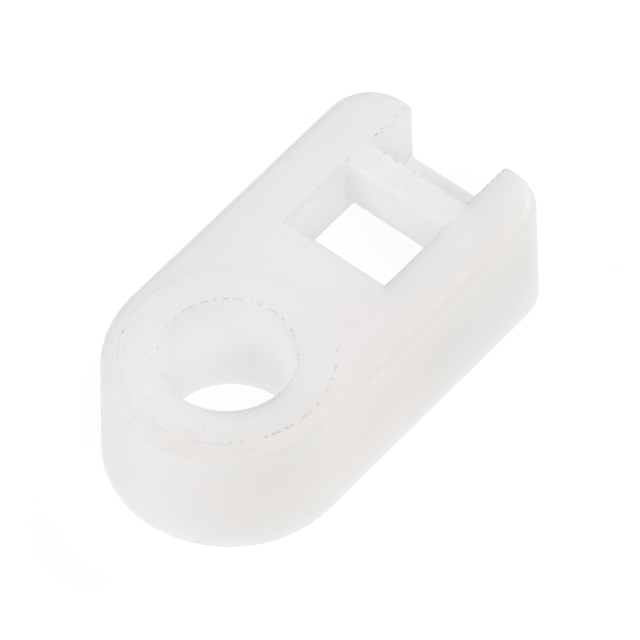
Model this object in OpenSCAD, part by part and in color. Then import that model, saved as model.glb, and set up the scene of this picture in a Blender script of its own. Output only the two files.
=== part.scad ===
// Cable tie mount for one screw, moulded in a single piece of natural nylon.
// The origin is on the axis of the screw hole, in the plane of the base.
// +X runs from the hole to the tie end, and +Z points up, out of the base.
// The tie goes down the slot, under the bridge, over the lip and out through the notch.
// Every opening is shaped from above or from below, so the mould needs no side core.

/* [Body] */
// Width across the parallel sides, which is also the diameter of the round end
body_w = 10.25; // [9.2:0.05:13]
// Radius of the two upright corners at the tie end
tail_corner_r = 2.2; // [1.2:0.05:2.6]
// Radius of the rounded edge that runs round the top
top_edge_r = 0.5; // [0.2:0.05:0.9]
// Draft of the outer walls, in degrees, by which the moulding leaves its mould
draft = 1.5; // [0:0.1:3]

/* [Screw hole] */
// Nominal diameter of the screw
screw_d = 5; // [3:0.5:6]
// Room for the screw in its hole, on the diameter
screw_clear = 0.5; // [0.2:0.1:0.8]
// Height of the land round the hole, on which the head of the screw bears
land_rise = 0.08; // [0.04:0.02:0.4]
// Strip of flat deck between the land and the rounded edge
land_gap = 0.18; // [0.05:0.01:0.5]
// Chamfer at the lower end of the hole
hole_chamfer = 0.2; // [0.1:0.05:0.6]

/* [Cable tie] */
// Width of the widest tie
tie_w = 4.6; // [2.4:0.1:5.4]
// Thickness of the thickest tie
tie_t = 1.1; // [0.8:0.05:1.6]
// Room on each side of the tie in the slot
slot_side_clear = 0.25; // [0.1:0.01:0.5]
// Room on each side of the tie in the notch
notch_side_clear = 0.18; // [0.05:0.01:0.5]
// Room between the tie and the bridge
passage_clear = 0.1; // [0.05:0.05:0.5]

/* [Slot and bridge] */
// Solid deck between the screw hole and the slot
slot_web = 3.95; // [3:0.05:6]
// Length of the slot, along the body
slot_l = 3.6; // [2.4:0.1:6]
// Radius of the top edges of the slot, over which the tie bends
slot_edge_r = 0.4; // [0.1:0.05:0.6]
// Length of the bridge, along the body
bridge_l = 1.4; // [1.2:0.1:3]
// Thickness of the bridge
bridge_h = 2.4; // [1.2:0.05:3]
// Radius of the lower edges of the bridge, against which the tie pulls
bridge_edge_r = 0.25; // [0.1:0.05:0.5]

/* [Notch and lip] */
// Length of the notch, from the bridge to the tie end
notch_l = 2.8; // [2:0.1:4]
// Thickness of the lip under the notch, along the body
lip_l = 1.9; // [1:0.1:2]
// Height of the lip
lip_h = 2.1; // [1.2:0.05:3]

/* [Underside] */
// Thickness of the side walls round the recess
side_wall = 1.26; // [0.8:0.02:2]
// Depth of the recess under the slot and the bridge
recess_h = 2.7; // [1:0.1:3.2]
// Radius of the upright corners of the recess
recess_corner_r = 0.4; // [0.1:0.05:1]

/* [Hidden] */
$fn = 96;
// How far a cut runs past the face that it opens
overrun = 1;

hole_d = screw_d + screw_clear;
slot_w = tie_w + 2 * slot_side_clear;
notch_w = tie_w + 2 * notch_side_clear;

passage_h = tie_t + passage_clear;
bridge_bottom = lip_h + passage_h;
body_h = bridge_bottom + bridge_h;
edge_inset = (body_h - top_edge_r) * tan(draft) + top_edge_r / cos(draft);
land_r = body_w / 2 - edge_inset - land_gap;

slot_front = hole_d / 2 + slot_web;
bridge_front = slot_front + slot_l;
bridge_rear = bridge_front + bridge_l;
tail_l = bridge_rear + notch_l;

recess_w = body_w - 2 * side_wall;
recess_l = tail_l - lip_l - slot_front;

// Half section of the outer form, from a centre line out to the wall, which leans in by the draft
module wall_section(reach) {
    difference() {
        polygon([[0, 0], [reach, 0], [reach - body_h * tan(draft), body_h], [0, body_h]]);
        translate([reach - edge_inset, body_h - top_edge_r]) edge_waste();
    }
}

// What the rounded top edge leaves out, drawn from the centre of its arc
module edge_waste() {
    far = top_edge_r + overrun;
    difference() {
        polygon([[0, 0], far * [cos(draft), sin(draft)], [far, far], [0, far]]);
        circle(top_edge_r);
    }
}

// What a rounded corner leaves out, for a corner at the origin with its material towards +X and +Y
module corner_waste(r) {
    difference() {
        translate([-overrun, -overrun]) square(r + overrun);
        translate([r, r]) circle(r);
    }
}

// Rectangle with rounded corners, from x = 0 and centred on y = 0
module rounded_rectangle(length, width, r) {
    translate([0, r - width / 2]) square([length, width - 2 * r]);
    translate([r, -width / 2]) square([length - 2 * r, width]);
    for (x = [r, length - r], y = [r - width / 2, width / 2 - r])
        translate([x, y]) circle(r);
}

// Carries a side view, drawn in X and Z, across the body
module across(width) {
    translate([0, width / 2, 0]) rotate([90, 0, 0]) linear_extrude(width) children();
}

// Round end at the hole, parallel sides, and a square tail with rounded corners
module outer_form() {
    corner_x = tail_l - tail_corner_r;
    corner_y = body_w / 2 - tail_corner_r;
    rotate([0, 0, 90]) rotate_extrude(angle = 180) wall_section(body_w / 2);
    for (side = [0, 1]) mirror([0, side, 0]) {
        rotate([90, 0, 90]) linear_extrude(corner_x) wall_section(body_w / 2);
        translate([corner_x, corner_y, 0]) rotate_extrude(angle = 90) wall_section(tail_corner_r);
    }
    translate([corner_x, 0, 0]) across(2 * corner_y) wall_section(tail_corner_r);
}

// Land under the screw's head, standing just proud of the deck
module screw_land() {
    translate([0, 0, body_h - top_edge_r]) cylinder(r = land_r, h = top_edge_r + land_rise);
}

// Hole for the screw, eased where it meets the panel
module screw_hole() {
    chamfer_h = hole_chamfer + overrun;
    translate([0, 0, -overrun]) {
        cylinder(d = hole_d, h = body_h + land_rise + 2 * overrun);
        cylinder(r1 = hole_d / 2 + chamfer_h, r2 = hole_d / 2, h = chamfer_h);
    }
}

// Side view of the bridge, with every edge rounded that the tie bends over
module bridge_section() {
    difference() {
        translate([bridge_front, bridge_bottom]) square([bridge_l, bridge_h]);
        translate([bridge_front, body_h]) mirror([0, 1]) corner_waste(slot_edge_r);
        translate([bridge_front, bridge_bottom]) corner_waste(bridge_edge_r);
        translate([bridge_rear, bridge_bottom]) mirror([1, 0]) corner_waste(bridge_edge_r);
    }
}

// Slot and the passage under the bridge, open from the deck to the base
module tie_slot() {
    across(slot_w) {
        difference() {
            translate([slot_front, -overrun]) square([bridge_rear - slot_front, body_h + 2 * overrun]);
            bridge_section();
        }
        translate([slot_front, body_h]) mirror([1, 1]) corner_waste(slot_edge_r);
    }
}

// Notch behind the bridge, open above and at the tie end, with the lip as its floor
module tie_notch() {
    across(notch_w)
        translate([bridge_rear, lip_h]) square([notch_l + overrun, body_h - lip_h + overrun]);
}

// Recess in the base, which leaves the side walls and the lip standing
module base_recess() {
    translate([slot_front, 0, -overrun])
        linear_extrude(recess_h + overrun) rounded_rectangle(recess_l, recess_w, recess_corner_r);
}

module mount_body() {
    color("#ebe8e6") difference() {
        union() {
            outer_form();
            screw_land();
        }
        screw_hole();
        tie_slot();
        tie_notch();
        base_recess();
    }
}

mount_body();
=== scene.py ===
# %% [markdown]
# # A cable tie mount in natural nylon
#
# A small moulding holds a cable tie to a panel. A screw goes down through the round end, and the tie is
# threaded down a slot, under a bridge and out through a notch. The whole part is one shot of nylon in its
# natural, slightly milky white.
#
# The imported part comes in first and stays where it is. It is in metres, with +Z up out of the base, the
# screw hole on the Z axis and +X towards the tie end, so everything below is placed by the part's own sizes.

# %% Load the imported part
import math
from collections import Counter

import bmesh
import bpy
from mathutils import Matrix, Vector


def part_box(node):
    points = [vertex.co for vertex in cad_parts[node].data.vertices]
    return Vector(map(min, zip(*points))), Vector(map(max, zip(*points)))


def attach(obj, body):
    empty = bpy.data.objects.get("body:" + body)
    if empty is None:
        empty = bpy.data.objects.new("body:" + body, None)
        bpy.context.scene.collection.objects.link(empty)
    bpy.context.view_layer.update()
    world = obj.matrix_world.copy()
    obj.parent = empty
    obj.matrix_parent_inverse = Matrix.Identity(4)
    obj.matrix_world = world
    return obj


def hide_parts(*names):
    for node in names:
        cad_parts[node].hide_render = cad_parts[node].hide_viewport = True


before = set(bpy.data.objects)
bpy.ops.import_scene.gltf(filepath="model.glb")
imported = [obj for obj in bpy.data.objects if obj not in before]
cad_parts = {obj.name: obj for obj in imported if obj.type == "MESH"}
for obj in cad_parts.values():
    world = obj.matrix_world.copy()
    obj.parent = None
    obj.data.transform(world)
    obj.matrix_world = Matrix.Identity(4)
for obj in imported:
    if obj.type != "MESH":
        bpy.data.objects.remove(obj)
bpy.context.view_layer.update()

MM = 0.001
scene = bpy.context.scene
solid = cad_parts["mount_body"]
low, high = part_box("mount_body")
print("mount_body is", [round(size / MM, 2) for size in high - low], "mm, in",
      len(solid.data.polygons), "triangles")

# %% [markdown]
# ## Camera
#
# The camera comes early, because every choice of finish is judged through it. It looks down on the round
# end with a long lens, as a product photographer does with a small part, so that parallel edges stay almost
# parallel. A camera looks along its own -Z. Reading the turns from right to left: it is rolled a little,
# tipped up from straight down, and turned about the vertical. Then it backs away from its target.

# %% Camera
TARGET = Vector((5.304, -0.236, 2.8)) * MM
DISTANCE = 357.5 * MM
TURN = math.radians(40.57)
DIP = math.radians(52.65)
ROLL = math.radians(-1.11)
IMAGE_SIDE = 640
PIXELS_PER_MM = 25.29
SENSOR = 36.0
NEAR_CLIP = 10 * MM

photo_camera = bpy.data.cameras.new("photo_camera")
photo_camera.sensor_width = SENSOR
photo_camera.lens = PIXELS_PER_MM * (DISTANCE / MM) * SENSOR / IMAGE_SIDE
photo_camera.clip_start = NEAR_CLIP
viewpoint = bpy.data.objects.new("photo_camera", photo_camera)
turned = (Matrix.Rotation(TURN - math.pi / 2, 4, "Z")
          @ Matrix.Rotation(math.pi / 2 - DIP, 4, "X")
          @ Matrix.Rotation(ROLL, 4, "Z"))
viewpoint.matrix_world = Matrix.Translation(TARGET) @ turned @ Matrix.Translation((0, 0, DISTANCE))
scene.collection.objects.link(viewpoint)
scene.camera = viewpoint
print("camera at", [round(c / MM) for c in viewpoint.location], "mm, lens", round(photo_camera.lens), "mm")

# %% [markdown]
# ## The moulding
#
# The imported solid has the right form, but its edges are perfectly sharp and its faces are loose triangles.
# A moulded edge is never that sharp: the steel of the mould is eased a few hundredths of a millimetre, and
# the edge catches light there. So the piece starts as a copy of the solid. Its triangles are welded into
# one skin, and those that lie in one plane are merged, which leaves only the edges that a hand could feel.

# %% Weld the copy into one skin
WELD_DISTANCE = 1e-7
FLAT_ANGLE = math.radians(0.1)

skin = bmesh.new()
skin.from_mesh(solid.data)
bmesh.ops.remove_doubles(skin, verts=skin.verts, dist=WELD_DISTANCE)
bmesh.ops.dissolve_limit(skin, angle_limit=FLAT_ANGLE, verts=skin.verts, edges=skin.edges)
print("skin:", len(skin.faces), "faces, closed:", all(edge.is_manifold for edge in skin.edges))

# %% [markdown]
# Only the outward edges are eased. Inside corners stay crisp, as they do where two parts of a mould meet.
# Three segments turn each right angle in steps that smooth shading can carry. Where an outward edge ends in
# an inside corner, a bevel has no room to close and leaves slivers. So the edge is split just before that
# corner and only the longer part is eased, which lets the bevel run out along the short part.

# %% Ease the outward edges
SHARP_ANGLE = math.radians(35)
EASE = 0.05 * MM
EASE_SEGMENTS = 3
ROUND_PROFILE = 0.5
RUN_OUT = 0.2 * MM

outward = [edge for edge in skin.edges if edge.is_convex and edge.calc_face_angle() > SHARP_ANGLE]
meetings = Counter(corner for edge in outward for corner in edge.verts)
run_outs = [(edge, corner) for edge in outward for corner in edge.verts if meetings[corner] == 1]
for edge, corner in run_outs:
    bmesh.utils.edge_split(edge, corner, RUN_OUT / edge.calc_length())
bmesh.ops.bevel(skin, geom=outward, offset=EASE, offset_type="OFFSET", segments=EASE_SEGMENTS,
                profile=ROUND_PROFILE, affect="EDGES", clamp_overlap=False)
print(len(outward), "edges eased by", EASE / MM, "mm, with", len(run_outs), "run-outs, closed:",
      all(edge.is_manifold for edge in skin.edges))

# %% [markdown]
# Smooth shading now runs over every face and stops at the inside corners. The Weighted Normal modifier lets
# the large flat faces keep their own direction, so that only the eased edges bend the light.

# %% Make the piece
moulding_mesh = bpy.data.meshes.new("nylon_moulding")
skin.to_mesh(moulding_mesh)
skin.free()
moulding_mesh.shade_smooth()
moulding_mesh.set_sharp_from_angle(angle=SHARP_ANGLE)
moulding = bpy.data.objects.new("nylon_moulding", moulding_mesh)
scene.collection.objects.link(moulding)
weighted = moulding.modifiers.new("flat faces lead", "WEIGHTED_NORMAL")
weighted.keep_sharp = True
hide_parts("mount_body")
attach(moulding, "root")
print("nylon_moulding:", len(moulding_mesh.polygons), "faces")

# %% [markdown]
# ## Writing a shader as sums
#
# A material is a tree of nodes, and a tree is hard to read as a list of links. This class wraps one output
# of a node. Python's own operators on it add Math nodes, so a mask can be written as it is thought of, such
# as `1 - mask`. Every other kind of node comes from `node`: its settings go in first, because some of them
# change which sockets it has, and then its sockets get a value or a link. A Wire without an output stands
# for a tree, and is where the first nodes of a material come from.

# %% Wire
class Wire:
    """One output of a node, which takes part in sums."""

    def __init__(self, tree, socket=None):
        self.tree = tree
        self.socket = socket

    def node(self, kind, settings, sockets, output=0):
        made = self.tree.nodes.new("ShaderNode" + kind)
        for name, value in settings.items():
            setattr(made, name, value)
        for name, value in sockets.items():
            if isinstance(value, Wire):
                self.tree.links.new(value.socket, made.inputs[name])
            else:
                made.inputs[name].default_value = value
        return Wire(self.tree, made.outputs[output] if made.outputs else None)

    def math(self, operation, first, second=0.0):
        return self.node("Math", {"operation": operation}, {0: first, 1: second})

    def __add__(self, other):
        return self.math("ADD", self, other)

    def __sub__(self, other):
        return self.math("SUBTRACT", self, other)

    def __rsub__(self, other):
        return self.math("SUBTRACT", other, self)

    def __mul__(self, other):
        return self.math("MULTIPLY", self, other)

    def __pow__(self, other):
        return self.math("POWER", self, other)

    def __abs__(self):
        return self.math("ABSOLUTE", self)

    def __gt__(self, other):
        return self.math("GREATER_THAN", self, other)

    def __lt__(self, other):
        return self.math("LESS_THAN", self, other)

    def __or__(self, other):
        return self.math("MAXIMUM", self, other)

    __radd__ = __add__
    __rmul__ = __mul__


def new_material(name):
    """A material with an empty tree, and a Wire that stands for the tree."""
    material = bpy.data.materials.new(name)
    material.use_nodes = True
    material.node_tree.nodes.clear()
    return material, Wire(material.node_tree)


print("sums on a Wire add Math nodes")

# %% [markdown]
# ## Nylon
#
# Natural nylon is a warm white that is a little clouded, because light goes in and scatters before it comes
# out. The finish works in millimetres in the part's own frame, so that each grain and cloud has a real size.

# %% Places on the part, in millimetres
nylon, nylon_tree = new_material("natural_nylon")
place = nylon_tree.node("VectorMath", {"operation": "SCALE"},
                        {0: nylon_tree.node("TexCoord", {}, {}, "Object"), "Scale": 1 / MM})
x, y, z = (nylon_tree.node("SeparateXYZ", {}, {0: place}, axis) for axis in "XYZ")
radius = (x * x + y * y) ** 0.5


def grain(size, detail=2.0):
    """Noise from 0 to 1 whose lumps are about that many millimetres across."""
    return nylon_tree.node("TexNoise", {}, {"Vector": place, "Scale": 1 / size, "Detail": detail}, "Fac")


def smooth_step(value, low_end, high_end):
    """Rises from 0 to 1 as the value goes from one end to the other."""
    sockets = {"Value": value, "From Min": low_end, "From Max": high_end}
    return nylon_tree.node("MapRange", {"interpolation_type": "SMOOTHSTEP"}, sockets)


print("nylon works in millimetres")

# %% [markdown]
# Fine dust has settled along the edges: on the rim of the hole, the circle of the land, and the top edges
# of the slot, the bridge and the notch. Painting it by hand would need an image, so each line is worked out
# as a distance from an edge in the part's frame. Most of them lie a little way onto the flat beside it.

# %% Edges that hold dust
HOLE_R = 2.75
LAND_R = 4.31
DECK = 5.7
LAND_TOP = high.z / MM
SLOT_X = 6.70, 10.30
SLOT_HALF = 2.55
BRIDGE_REAR = 11.7
NOTCH_HALF = 2.48
DUST_REACH = 0.06
INWARD = 0.04
PAST_SLOT = 0.3


def beside(across, up):
    """1 on the edge at which both distances are zero, falling to 0 within the reach of the dust."""
    return 1 - smooth_step((across * across + up * up) ** 0.5, DUST_REACH / 3, DUST_REACH)


along_slot = (x > SLOT_X[0] - PAST_SLOT) * (x < SLOT_X[1] + PAST_SLOT)
hole_rim = beside(radius - HOLE_R, z - LAND_TOP)
land_rim = beside(radius - LAND_R + INWARD, z - LAND_TOP)
slot_rim = beside(abs(y) - SLOT_HALF - INWARD, z - DECK) * along_slot
bridge_rim = beside(x - BRIDGE_REAR + INWARD, z - DECK) * (abs(y) < NOTCH_HALF)
notch_rim = beside(abs(y) - NOTCH_HALF - INWARD, z - DECK) * (x > BRIDGE_REAR)
print("rims of the hole, the land, the slot, the bridge and the notch, within", DUST_REACH, "mm")

# %% [markdown]
# A noise with lumps of a quarter of a millimetre breaks each line into dashes and dots. What is added to
# that noise makes one line fuller than another, and a shade below 1 makes it paler. The rim of the hole is
# fullest on the side towards the slot. The land keeps its dust only in a few arcs, most of them on the -Y
# side, and a noise with lumps of some millimetres picks them. On the other rims a thin film lies between
# the dashes.

# %% Dust along the edges
DASH = 0.25
DASH_BEGINS = 0.53
DASH_FULL = 0.60
ARC = 3.0
ARC_CONTRAST = 0.6
FILM = 0.15


def broken(rim, fuller, shade):
    """The rim broken into dashes, which run together as more is added to the noise."""
    return rim * smooth_step(grain(DASH) + fuller, DASH_BEGINS, DASH_FULL) * shade


arcs = (grain(ARC) - 0.5) * ARC_CONTRAST
film = (hole_rim | slot_rim | bridge_rim | notch_rim) * FILM
edge_dust = (broken(hole_rim, fuller=x * 0.025 + 0.045, shade=0.8)
             | broken(land_rim, fuller=arcs - y * 0.008 - 0.09, shade=0.7)
             | broken(slot_rim, fuller=0.02, shade=0.35)
             | broken(bridge_rim, fuller=0.07, shade=1.0)
             | broken(notch_rim, fuller=0.05 - y * 0.015, shade=1.0)
             | film)
print("dust in dashes of about", DASH, "mm")

# %% [markdown]
# Nothing settles on the upright walls inside the hole, the slot and the notch. A mask of those walls keeps
# grains off them, and the colour uses it again further down, to paint light onto those walls. It fades out
# towards the deck and the tie end, so that its border doesn't show.

# %% Clean walls
TIE_END = high.x / MM
END_FADE = 1.0
WALL_FADE = 0.4
RIM_FROM = 0.005
RIM_TO = 0.06
BEHIND_FACE = 0.01

bore_wall = 1 - smooth_step(radius, HOLE_R + RIM_FROM, HOLE_R + RIM_TO)
tie_way = (x > SLOT_X[0] - WALL_FADE) * (abs(y) < SLOT_HALF + BEHIND_FACE)
before_end = 1 - smooth_step(x, TIE_END - END_FADE, TIE_END)
below_deck = 1 - smooth_step(z, DECK - WALL_FADE, DECK)
inner_wall = bore_wall | tie_way * before_end * below_deck
print("clean walls up to", DECK - WALL_FADE, "mm above the base")

# %% [markdown]
# A few grains lie loose on the faces as well. They lie closest at the round end, where the part is held
# while the screw goes in. Voronoi cells scatter them: each cell has one point and one random colour. The red
# of that colour says whether the cell holds a grain, the green how large it is and the blue how dark.

# %% Loose grains
GRAIN_SPACING = 0.5
GRAIN_R = 0.045
SMALLEST = 0.5
PALEST = 0.15
DARKEST = 0.65
EMPTY_AT_HOLE = 0.2
EMPTY_AT_TIE = 0.7
THINNING_X = -1.0, 3.0

cells = {"Vector": place, "Scale": 1 / GRAIN_SPACING}
cell_distance = nylon_tree.node("TexVoronoi", {}, cells, "Distance") * GRAIN_SPACING
cell_colour = nylon_tree.node("TexVoronoi", {}, cells, "Color")
red, green, blue = (nylon_tree.node("SeparateColor", {}, {0: cell_colour}, channel)
                    for channel in ("Red", "Green", "Blue"))
empty_share = EMPTY_AT_HOLE + smooth_step(x, *THINNING_X) * (EMPTY_AT_TIE - EMPTY_AT_HOLE)
grain_reach = (SMALLEST + green) * GRAIN_R
grain_shade = PALEST + blue * (DARKEST - PALEST)
loose_dust = (1 - smooth_step(cell_distance, grain_reach * 0.5, grain_reach)) * (red > empty_share)
dust = edge_dust | loose_dust * grain_shade * (1 - inner_wall)
print("grains from", GRAIN_R * SMALLEST * 2, "to", GRAIN_R * (SMALLEST + 1) * 2, "mm across")

# %% [markdown]
# Painted shade: the shoulders of the part are painted a darker, warmer white. It is strongest on the rolled
# edge that runs round the top, where it holds back the highlight that the lamps put there, and weaker on the
# deck and the walls beside it, above all on the -Y side, and it reaches down the walls to the foot. How far
# a point lies out from the middle of the part finds the edge: along the body that is its distance from the
# plane through the middle, and round the end its distance from the hole's axis. The hole and the way of the
# tie are left out.

# %% Painted shade on the shoulders
HALF_WIDTH = high.y / MM
HOLE_MARGIN = 0.1
SLOT_END_MARGIN = 0.6
SLOT_SIDE_MARGIN = 0.05
ROLL_SHARE = 0.45
DECK_SHARE = 0.6

tie_opening = (x > SLOT_X[0] - SLOT_END_MARGIN) * (abs(y) < SLOT_HALF + SLOT_SIDE_MARGIN)
outside = (radius > HOLE_R + HOLE_MARGIN) * (1 - tie_opening)
before_axis = x * (x < 0.0)
out = (before_axis * before_axis + y * y) ** 0.5
beside_roll = smooth_step(out, HALF_WIDTH - 1.625, HALF_WIDTH - 0.525)
on_roll = smooth_step(out, HALF_WIDTH - 0.725, HALF_WIDTH - 0.425)
near_top = smooth_step(z, DECK - 0.6, DECK - 0.05)
off_left_side = 1 - smooth_step(y, -2.0, 4.0)
# Painted shade: a darker band along the rolled edge, against the highlight there.
edge_painted_shade = (beside_roll * (1 - ROLL_SHARE) + on_roll * ROLL_SHARE) * near_top * off_left_side * outside
right_side = 1 - smooth_step(y, -4.0, 1.0)
above_foot = smooth_step(z, -6.0, 3.0)
past_deck = smooth_step(out, HALF_WIDTH - 0.825, HALF_WIDTH - 0.125)
# Painted shade: the shoulders and the -Y side, darker and warmer, down to the foot.
painted_shade = (DECK_SHARE + past_deck * (1 - DECK_SHARE)) * above_foot * right_side * outside
print("handled shoulders up to the rolled edge")

# %% [markdown]
# The colour goes from a cool white to a warm one in faint clouds of a few millimetres, with a finer mottle
# in them. The walls inside the openings are painted a lighter, cleaner white, painted light that lifts the
# shade in them. The painted shade of the shoulders and the rolled edge is laid over that, and then the dust,
# a thin brown grey. Colours are mixed by Mix nodes, since a Math node would turn them grey.

# %% Nylon colour
COOL_WHITE = (0.876, 0.860, 0.874, 1)
WARM_WHITE = (0.862, 0.844, 0.844, 1)
# Painted light: a lighter white for the walls inside the hole, the slot and the notch.
PAINTED_LIGHT_WHITE = (0.955, 0.942, 0.952, 1)
# Painted shade: a darker, warmer white for the shoulders and the -Y side.
PAINTED_SHADE_WHITE = (0.838, 0.812, 0.786, 1)
# Painted shade: a still darker white for the rolled edge.
EDGE_PAINTED_SHADE_WHITE = (0.775, 0.744, 0.718, 1)
DUST_COLOUR = (0.36, 0.33, 0.30, 1)
CLOUD_SIZE = 3.5
MOTTLE_SIZE = 0.3
CLOUD_SHARE = 0.6
CLOUD_RANGE = 0.38, 0.62
DUST_COVER = 0.6


def mix_colours(share, first, second):
    """The first colour, with that share of the second in it."""
    return nylon_tree.node("Mix", {"data_type": "RGBA"}, {0: share, 6: first, 7: second}, 2)


cloud_noise = grain(CLOUD_SIZE) * CLOUD_SHARE + grain(MOTTLE_SIZE) * (1 - CLOUD_SHARE)
clouds = smooth_step(cloud_noise, *CLOUD_RANGE)
# Painted light: the walls inside the openings are mixed towards a lighter white.
white = mix_colours(inner_wall, mix_colours(clouds, COOL_WHITE, WARM_WHITE), PAINTED_LIGHT_WHITE)
# Painted shade: the shoulders and the rolled edge are mixed towards darker, warmer whites.
with_painted_shade = mix_colours(edge_painted_shade, mix_colours(painted_shade, white, PAINTED_SHADE_WHITE), EDGE_PAINTED_SHADE_WHITE)
colour = mix_colours(dust * DUST_COVER, with_painted_shade, DUST_COLOUR)
print("colour from", len(nylon.node_tree.nodes), "nodes")

# %% [markdown]
# Light goes some way into the nylon before it turns back, so the shader scatters it under the surface over
# a few millimetres. A plain white would look like chalk beside it. The mould has left a grain on the skin of
# a few thousandths of a millimetre. That is too fine to be modelled, so a bump stands for it, and the gloss
# drifts a little from place to place and is duller where there is dust.

# %% Nylon shader
NYLON_IOR = 1.53
SCATTER = 4.0 * MM
SKIN_GRAIN = 0.09
GRAIN_SHARE = 0.4
SKIN_WAVE = 0.8
SKIN_DEPTH = 0.004 * MM
SKIN_STRENGTH = 0.5
SATIN = 0.45
SATIN_DRIFT = 0.14
DRIFT_SIZE = 0.5
DUSTY = 0.2

skin_height = grain(SKIN_GRAIN, detail=3.0) * GRAIN_SHARE + grain(SKIN_WAVE)
bump = nylon_tree.node("Bump", {}, {
    "Strength": SKIN_STRENGTH,
    "Distance": SKIN_DEPTH,
    "Height": skin_height,
})
surface = nylon_tree.node("BsdfPrincipled", {"subsurface_method": "RANDOM_WALK"}, {
    "Base Color": colour,
    "Roughness": SATIN + grain(DRIFT_SIZE) * SATIN_DRIFT + dust * DUSTY,
    "Normal": bump,
    "IOR": NYLON_IOR,
    "Subsurface Weight": 1.0,
    "Subsurface Radius": (1.0, 1.0, 1.0),
    "Subsurface Scale": SCATTER,
})
nylon_tree.node("OutputMaterial", {}, {"Surface": surface})
moulding_mesh.materials.append(nylon)
print("nylon has", len(nylon.node_tree.nodes), "nodes")

# %% [markdown]
# ## Floor
#
# The part lies on a light table, a sheet of opal plastic with a lamp under it. Half of what the sheet sends
# up is light from above that it throws back, and half comes through from below. Together that is close to
# what pure white would throw back, but it also reaches the places that the part itself shades: the foot of
# each wall, the bore and the slot. To the camera and in reflections the sheet is pure white, with a
# share of plain diffuse white that keeps a soft shadow. Such a large sheet would take nearly all the
# samples that Cycles sends towards lamps, so it is kept off that list, and its light is found by chance.

# %% White sheet finish
OPAL = (0.5, 0.5, 0.5, 1)
UNDER_LIGHT = 0.54
WHITE = (1, 1, 1, 1)
SHEET_GLOW = 1.06
SHADOW_SHARE = 0.16


def seen_directly(tree):
    """1 for what the camera, a reflection or clear glass shows."""
    camera_ray, glossy_ray, clear_ray = (tree.node("LightPath", {}, {}, ray) for ray in (
        "Is Camera Ray", "Is Glossy Ray", "Is Transmission Ray"))
    return camera_ray | glossy_ray | clear_ray


sheet_finish, sheet_tree = new_material("white_sheet")
opal = sheet_tree.node("BsdfDiffuse", {}, {"Color": OPAL})
under_light = sheet_tree.node("Emission", {}, {"Color": WHITE, "Strength": UNDER_LIGHT})
lit_sheet = sheet_tree.node("AddShader", {}, {0: opal, 1: under_light})
diffuse_white = sheet_tree.node("BsdfDiffuse", {}, {"Color": WHITE})
glow = sheet_tree.node("Emission", {}, {"Color": WHITE, "Strength": SHEET_GLOW})
seen_sheet = sheet_tree.node("MixShader", {}, {0: SHADOW_SHARE, 1: glow, 2: diffuse_white})
sheet = sheet_tree.node("MixShader", {}, {0: seen_directly(sheet_tree), 1: lit_sheet, 2: seen_sheet})
sheet_tree.node("OutputMaterial", {}, {"Surface": sheet})
sheet_finish.cycles.emission_sampling = "NONE"
print("white sheet gives", OPAL[0], "back and", UNDER_LIGHT, "of its own")

# %% [markdown]
# One square face is enough for the sheet. It is far larger than the part, so that no edge of it comes into
# the picture, and it lies a hair below the base, because two faces in one plane would flicker.

# %% White sheet
FLOOR_SIDE = 2.0
FLOOR_GAP = 0.02 * MM

floor_mesh = bpy.data.meshes.new("white_sheet")
floor_shape = bmesh.new()
bmesh.ops.create_grid(floor_shape, x_segments=1, y_segments=1, size=FLOOR_SIDE / 2)
floor_shape.to_mesh(floor_mesh)
floor_shape.free()
floor_mesh.materials.append(sheet_finish)
floor = bpy.data.objects.new("white_sheet", floor_mesh)
floor.location.z = low.z - FLOOR_GAP
scene.collection.objects.link(floor)
print("white sheet", FLOOR_SIDE, "m across")

# %% [markdown]
# ## Light
#
# A pale part is photographed with soft light from every side, so that no face is much darker than another.
# White cloth behind the lamps makes the backdrop: bright where it is seen, and a weak fill elsewhere.

# %% Tent
TENT_LEVEL = 0.02
BACKDROP_LEVEL = 1.0

tent = bpy.data.worlds.new("light_tent")
tent.use_nodes = True
tent.node_tree.nodes.clear()
tent_tree = Wire(tent.node_tree)
cloth = tent_tree.node("Background", {}, {"Color": WHITE, "Strength": TENT_LEVEL})
backdrop = tent_tree.node("Background", {}, {"Color": WHITE, "Strength": BACKDROP_LEVEL})
surround = tent_tree.node("MixShader", {}, {0: seen_directly(tent_tree), 1: cloth, 2: backdrop})
tent_tree.node("OutputWorld", {}, {"Surface": surround})
scene.world = tent
print("tent at", TENT_LEVEL)

# %% [markdown]
# Three soft boxes of nearly the same strength stand evenly round the part, all at the same height. Each wall
# then faces one of them, and the walls of the hole are lit alike. One lamp beside the camera would be
# simpler, but it makes the rolled edge glow and leaves the sides of the hole dark.

# %% Soft boxes
BOX_DISTANCE = 0.6
BOX_SIDE = 0.3
BOX_RISE = math.radians(40)


def soft_box(name, turn, watts):
    """A square lamp aimed at the part. Turn is in degrees from +X."""
    lamp = bpy.data.lights.new(name, "AREA")
    lamp.shape = "SQUARE"
    lamp.size = BOX_SIDE
    lamp.energy = watts
    holder = bpy.data.objects.new(name, lamp)
    aim = (Matrix.Rotation(math.radians(turn) + math.pi / 2, 4, "Z")
           @ Matrix.Rotation(math.pi / 2 - BOX_RISE, 4, "X"))
    holder.matrix_world = Matrix.Translation(TARGET) @ aim @ Matrix.Translation((0, 0, BOX_DISTANCE))
    scene.collection.objects.link(holder)
    print(name, "at", [round(c, 2) for c in holder.location], "m,", watts, "W")


soft_box("left_box", turn=140, watts=1.64)
soft_box("front_box", turn=246, watts=1.54)
soft_box("right_back_box", turn=350, watts=1.80)

# %% [markdown]
# ## Colours as they are
#
# The Standard view shows a colour as it is written, which suits a pale part on white: the film-like views
# would pull the whites down.

# %% View
scene.view_settings.view_transform = "Standard"
print("view:", scene.view_settings.view_transform)

# %% [markdown]
# ## Last update
#
# The view layer is brought up to date, so that every piece stands where it was placed.
# The finished piece has to lie inside the box of the imported part.

# %% Update the view layer
bpy.context.view_layer.update()
